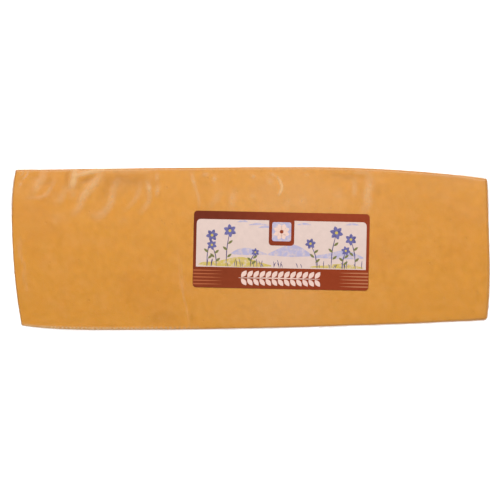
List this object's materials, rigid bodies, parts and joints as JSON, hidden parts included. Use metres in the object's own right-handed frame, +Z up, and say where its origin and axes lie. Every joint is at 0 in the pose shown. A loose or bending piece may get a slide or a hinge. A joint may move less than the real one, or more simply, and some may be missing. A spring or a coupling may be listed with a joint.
{
  "type": "vacuum-packed mimolette cheese loaf",
  "caption": "Brick-shaped loaf of orange pressed cheese, shrink-wrapped in clear film with folded end seals and a printed label on its upper face.",
  "frame": {"origin": "centre of the footprint's bounding box, on the plane that the loaf rests on", "axes": "+X along the loaf towards its slimmer end, +Y towards its rear long side, +Z up out of the labelled face"},
  "size_m": [0.3016, 0.1024, 0.098],
  "materials": {
    "cheese_in_film": "orange cheese under clear glossy film",
    "label": "satin printed sticker"
  },
  "bodies": {
    "root": {"wrapped_loaf": "cheese_in_film", "label": "label"}
  },
  "joints": []
}
